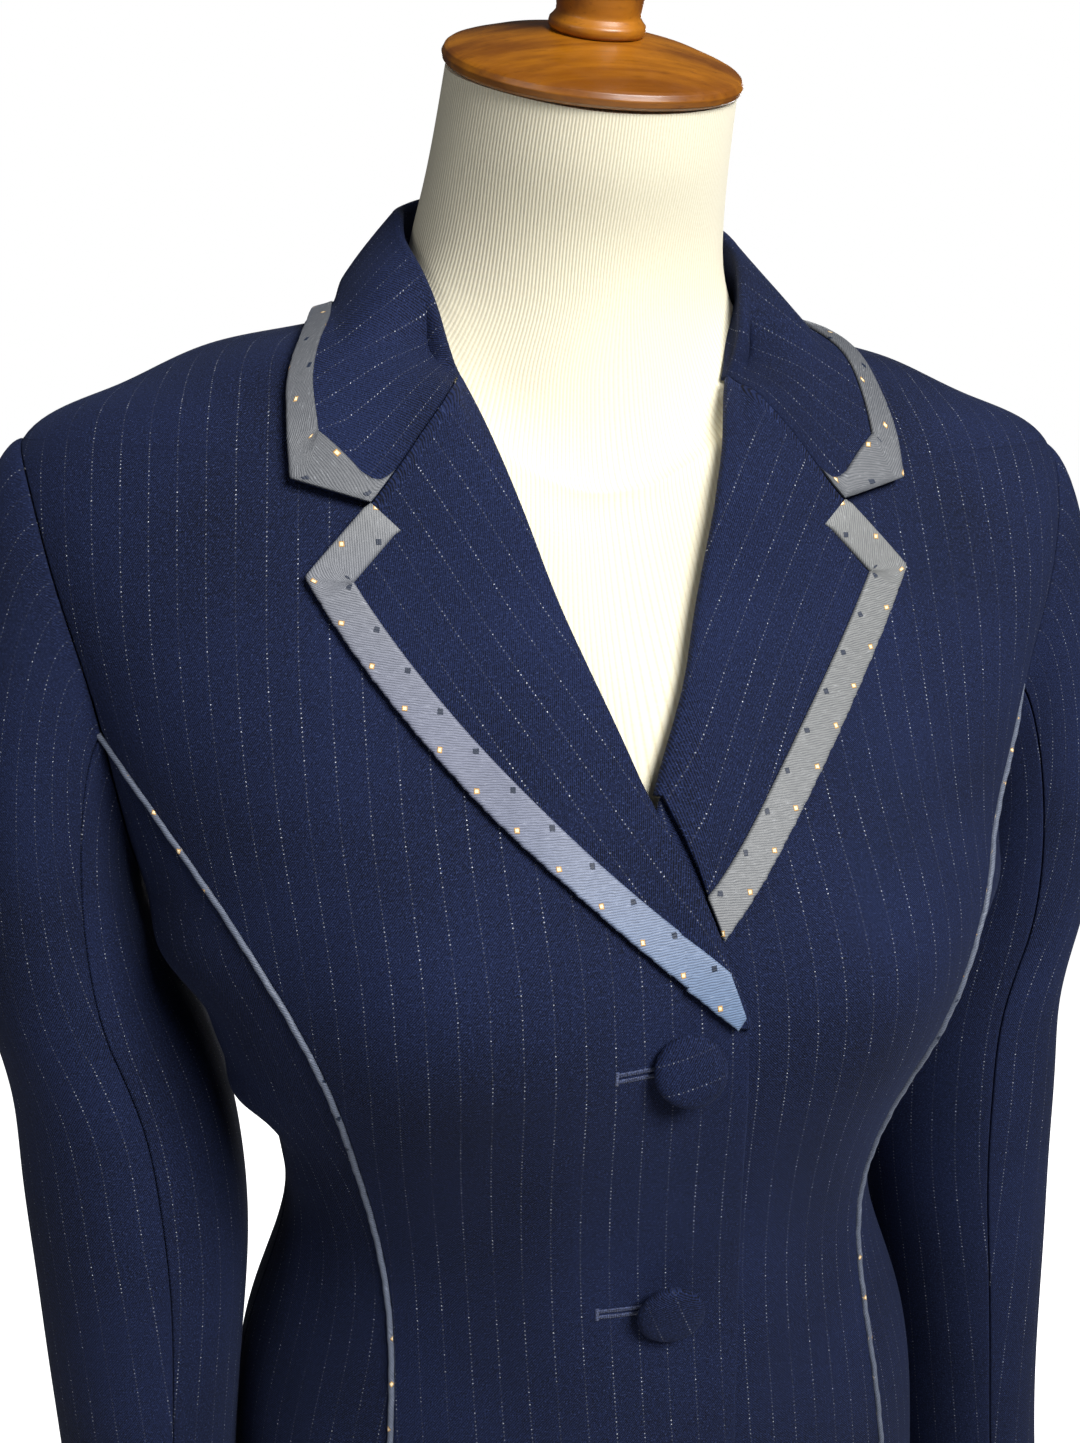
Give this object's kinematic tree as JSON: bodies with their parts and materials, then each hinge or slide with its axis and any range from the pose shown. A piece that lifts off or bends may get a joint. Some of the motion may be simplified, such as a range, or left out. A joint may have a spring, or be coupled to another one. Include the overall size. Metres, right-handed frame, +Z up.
{
  "type": "showmanship suit jacket on dress form",
  "caption": "Fitted suit jacket in pinstripe cloth with spotted silk bands on its collar and lapels, closed with covered buttons on a limbless dress form with a round stand.",
  "frame": {"origin": "centre of the stand base's underside, on the floor", "axes": "+Z up along the pole, -Y the way the jacket faces, +X to the wearer's left"},
  "size_m": [0.455, 0.39, 1.5405],
  "materials": {
    "suiting": "matte navy worsted twill with silver dotted pinstripes",
    "silk_trim": "grey-blue shot silk with small gold and navy dots",
    "form_jersey": "matte cream ribbed jersey",
    "wood": "varnished honey brown",
    "steel": "brushed"
  },
  "bodies": {
    "root": {"form_torso": "form_jersey", "neck_cap": "wood", "neck_knob": "wood", "stand_base": "wood", "stand_pole": "steel", "front_left": "suiting", "side_front_left": "suiting", "back_left": "suiting", "sleeve_upper_left": "suiting", "sleeve_under_left": "suiting", "lapel_left": "suiting", "lapel_band_left": "silk_trim", "piping_left": "silk_trim", "front_right": "suiting", "side_front_right": "suiting", "back_right": "suiting", "sleeve_upper_right": "suiting", "sleeve_under_right": "suiting", "lapel_right": "suiting", "lapel_band_right": "silk_trim", "piping_right": "silk_trim", "collar": "suiting", "collar_band": "silk_trim", "button_1": "suiting", "button_2": "suiting", "button_3": "suiting"}
  },
  "joints": []
}
